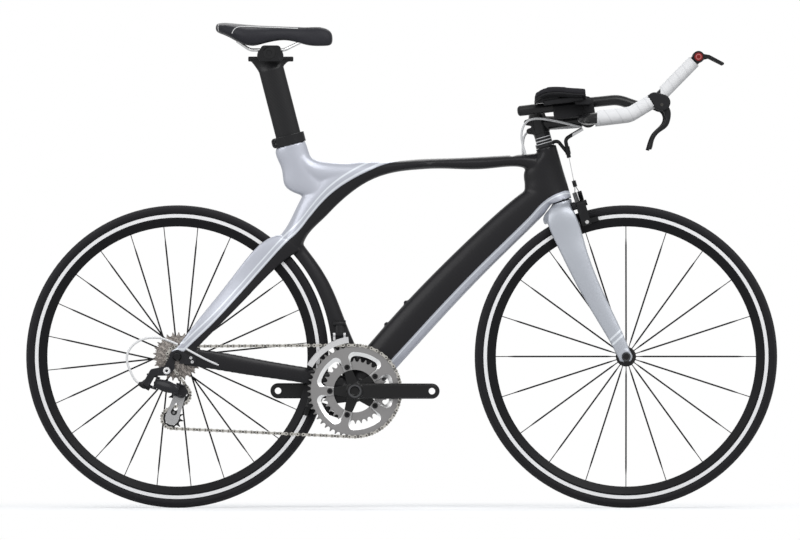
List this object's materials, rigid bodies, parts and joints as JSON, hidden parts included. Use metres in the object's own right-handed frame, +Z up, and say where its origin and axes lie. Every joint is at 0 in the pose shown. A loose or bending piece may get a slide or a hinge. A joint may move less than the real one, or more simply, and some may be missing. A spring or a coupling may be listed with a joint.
{
  "type": "time trial bicycle",
  "caption": "Time trial bicycle with an aero carbon frame, a base bar with arm rests and extensions, derailleur gears and rim brakes.",
  "frame": {"origin": "on the ground, midway between the two axles, in the frame's centre plane", "axes": "+X forward, +Y to the rider's left, +Z up"},
  "size_m": [1.6579, 0.4426, 1.0696],
  "materials": {
    "carbon": "satin clear-coated carbon",
    "silver_paint": "gloss silver paint",
    "black_metal": "black anodised",
    "alloy": "satin",
    "steel": "nickel plated",
    "tyre_rubber": "moulded",
    "rim_alloy": "black anodised with bare brake tracks",
    "tape": "cork tape",
    "foam": "closed-cell foam",
    "saddle_cover": "synthetic leather",
    "housing": "smooth",
    "resin": "moulded"
  },
  "bodies": {
    "frame": {"main_frame": "carbon", "rear_triangle": "silver_paint", "derailleur_hanger": "black_metal", "seat_clamp": "black_metal", "frame_bearings": "alloy", "rear_axle": "steel", "fd_bracket": "black_metal", "rear_shift_housing": "housing", "rd_knuckle": "alloy", "chain": "steel"},
    "rear_release": {"rear_qr_lever": "black_metal"},
    "steering": {"fork": "silver_paint", "headset_spacers": "carbon", "stem": "black_metal", "base_bar": "carbon", "bar_tape": "tape", "extension_bars": "carbon", "arm_rests": "resin", "arm_pads": "foam", "cable_hanger": "alloy", "front_brake_body": "black_metal", "front_axle": "steel", "front_brake_housing": "steel", "lever_hoods": "resin", "shifter_bodies": "black_metal", "cable_housings": "housing"},
    "front_release": {"front_qr_lever": "black_metal"},
    "front_wheel": {"front_tyre": "tyre_rubber", "front_rim": "rim_alloy", "front_spokes": "black_metal", "front_hub": "black_metal"},
    "rear_wheel": {"rear_tyre": "tyre_rubber", "rear_rim": "rim_alloy", "rear_spokes": "black_metal", "rear_hub": "black_metal"},
    "cogs": {"cassette": "steel"},
    "cranks": {"crank_right": "black_metal", "crank_left": "black_metal", "chainrings": "alloy", "chainring_bolts": "black_metal"},
    "outer_link": {"rd_outer_link": "alloy"},
    "inner_link": {"rd_inner_link": "alloy"},
    "lower_knuckle": {"rd_pivot": "alloy"},
    "cage": {"rd_cage": "alloy"},
    "guide": {"guide_pulley": "resin"},
    "tension": {"tension_pulley": "resin"},
    "front_mech_link": {"fd_link": "black_metal"},
    "front_mech_cage": {"fd_cage": "alloy"},
    "left_brake_lever": {"brake_lever_left": "black_metal"},
    "right_brake_lever": {"brake_lever_right": "black_metal"},
    "left_shift_lever": {"shift_lever_left": "black_metal"},
    "right_shift_lever": {"shift_lever_right": "black_metal"},
    "front_left_arm": {"front_brake_arm_left": "black_metal"},
    "front_right_arm": {"front_brake_arm_right": "black_metal"},
    "rear_left_arm": {"rear_brake_arm_left": "black_metal"},
    "rear_right_arm": {"rear_brake_arm_right": "black_metal"},
    "post": {"seatpost": "carbon"},
    "seat": {"saddle_clamp": "black_metal", "saddle_rails": "steel", "saddle": "saddle_cover"}
  },
  "joints": [
    {"name": "steering", "type": "hinge", "parent": "frame", "child": "steering", "pos_m": [0.35196, 0, 0.67685], "axis": [-0.2756, 0, 0.9613], "range_deg": [-35, 35], "deforming": ["cable_housings"]},
    {"name": "front_wheel_spin", "type": "hinge", "parent": "steering", "child": "front_wheel", "pos_m": [0.495, 0, 0.334], "axis": [0, 1, 0], "continuous": true},
    {"name": "rear_wheel_spin", "type": "hinge", "parent": "frame", "child": "rear_wheel", "pos_m": [-0.495, 0, 0.334], "axis": [0, 1, 0], "continuous": true},
    {"name": "crank_spin", "type": "hinge", "parent": "frame", "child": "cranks", "pos_m": [-0.1033, 0, 0.258], "axis": [0, 1, 0], "continuous": true, "deforming": ["chain"]},
    {"name": "cog_spin", "type": "hinge", "parent": "frame", "child": "cogs", "pos_m": [-0.495, 0, 0.334], "axis": [0, 1, 0], "continuous": true},
    {"name": "rd_shift", "type": "hinge", "parent": "frame", "child": "outer_link", "pos_m": [-0.5407, -0.084, 0.2757], "axis": [0.3, 0, 0.9539], "range_deg": [0, 40], "deforming": ["chain"]},
    {"name": "rd_inner_swing", "type": "hinge", "parent": "frame", "child": "inner_link", "pos_m": [-0.5407, -0.073, 0.2757], "axis": [0.3, 0, 0.9539], "range_deg": [0, 40]},
    {"name": "rd_knuckle_swing", "type": "hinge", "parent": "outer_link", "child": "lower_knuckle", "pos_m": [-0.4956, -0.10028, 0.26152], "axis": [0.3, 0, 0.9539], "range_deg": [-40, 0]},
    {"name": "rd_cage_swing", "type": "hinge", "parent": "lower_knuckle", "child": "cage", "pos_m": [-0.4862, 0, 0.2567], "axis": [0, 1, 0], "range_deg": [-30, 8], "stiffness_Nm_per_rad": 0.35, "deforming": ["chain"]},
    {"name": "guide_spin", "type": "hinge", "parent": "cage", "child": "guide", "pos_m": [-0.4885, 0, 0.25009], "axis": [0, 1, 0], "continuous": true},
    {"name": "tension_spin", "type": "hinge", "parent": "cage", "child": "tension", "pos_m": [-0.50661, 0, 0.19816], "axis": [0, 1, 0], "continuous": true},
    {"name": "fd_shift", "type": "hinge", "parent": "frame", "child": "front_mech_link", "pos_m": [-0.13731, -0.036, 0.406], "axis": [1, 0, 0], "range_deg": [0, 20]},
    {"name": "fd_cage_swing", "type": "hinge", "parent": "front_mech_link", "child": "front_mech_cage", "pos_m": [-0.13731, -0.04017, 0.38237], "axis": [1, 0, 0], "range_deg": [-20, 0]},
    {"name": "left_brake_lever_pull", "type": "hinge", "parent": "steering", "child": "left_brake_lever", "pos_m": [0.57159, 0.205, 0.88807], "axis": [0, 1, 0], "range_deg": [0, 25], "stiffness_Nm_per_rad": 0.5},
    {"name": "left_shift_lever_turn", "type": "hinge", "parent": "steering", "child": "left_shift_lever", "pos_m": [0.65439, 0.055, 0.99507], "axis": [0, 1, 0], "range_deg": [-35, 45]},
    {"name": "right_brake_lever_pull", "type": "hinge", "parent": "steering", "child": "right_brake_lever", "pos_m": [0.57159, -0.205, 0.88807], "axis": [0, 1, 0], "range_deg": [0, 25], "stiffness_Nm_per_rad": 0.5},
    {"name": "right_shift_lever_turn", "type": "hinge", "parent": "steering", "child": "right_shift_lever", "pos_m": [0.65439, -0.055, 0.99507], "axis": [0, 1, 0], "range_deg": [-35, 45]},
    {"name": "front_left_arm_close", "type": "hinge", "parent": "steering", "child": "front_left_arm", "pos_m": [0.39238, 0.027, 0.66966], "axis": [-0.9563, 0, -0.2924], "range_deg": [0, 3]},
    {"name": "rear_left_arm_close", "type": "hinge", "parent": "frame", "child": "rear_left_arm", "pos_m": [-0.16312, 0.027, 0.21973], "axis": [0.3256, 0, 0.9455], "range_deg": [0, 3]},
    {"name": "front_right_arm_close", "type": "hinge", "parent": "steering", "child": "front_right_arm", "pos_m": [0.39238, -0.027, 0.66966], "axis": [0.9563, 0, 0.2924], "range_deg": [0, 3]},
    {"name": "rear_right_arm_close", "type": "hinge", "parent": "frame", "child": "rear_right_arm", "pos_m": [-0.16312, -0.027, 0.21973], "axis": [-0.3256, 0, -0.9455], "range_deg": [0, 3]},
    {"name": "front_release_turn", "type": "hinge", "parent": "steering", "child": "front_release", "pos_m": [0.495, 0.071, 0.334], "axis": [-0.8829, 0, -0.4695], "range_deg": [0, 175]},
    {"name": "rear_release_turn", "type": "hinge", "parent": "frame", "child": "rear_release", "pos_m": [-0.495, 0.086, 0.334], "axis": [-0.342, 0, 0.9397], "range_deg": [0, 175]},
    {"name": "post_height", "type": "slide", "parent": "frame", "child": "post", "axis": [-0.2504, 0, 0.9681], "range_m": [-0.03, 0.02]},
    {"name": "saddle_setback", "type": "slide", "parent": "post", "child": "seat", "axis": [1, 0, 0], "range_m": [-0.02, 0.02]}
  ],
  "couplings": [
    {"joint": "cog_spin", "follows": "crank_spin", "ratio": 4.5455},
    {"joint": "tension_spin", "follows": "crank_spin", "ratio": 4.5455},
    {"joint": "guide_spin", "follows": "crank_spin", "ratio": -4.5455},
    {"joint": "rd_inner_swing", "follows": "rd_shift", "ratio": 1},
    {"joint": "rd_knuckle_swing", "follows": "rd_shift", "ratio": -1},
    {"joint": "fd_cage_swing", "follows": "fd_shift", "ratio": -1},
    {"joint": "front_left_arm_close", "follows": "left_brake_lever_pull", "ratio": 0.12},
    {"joint": "rear_left_arm_close", "follows": "right_brake_lever_pull", "ratio": 0.12},
    {"joint": "front_right_arm_close", "follows": "left_brake_lever_pull", "ratio": 0.12},
    {"joint": "rear_right_arm_close", "follows": "right_brake_lever_pull", "ratio": 0.12}
  ]
}
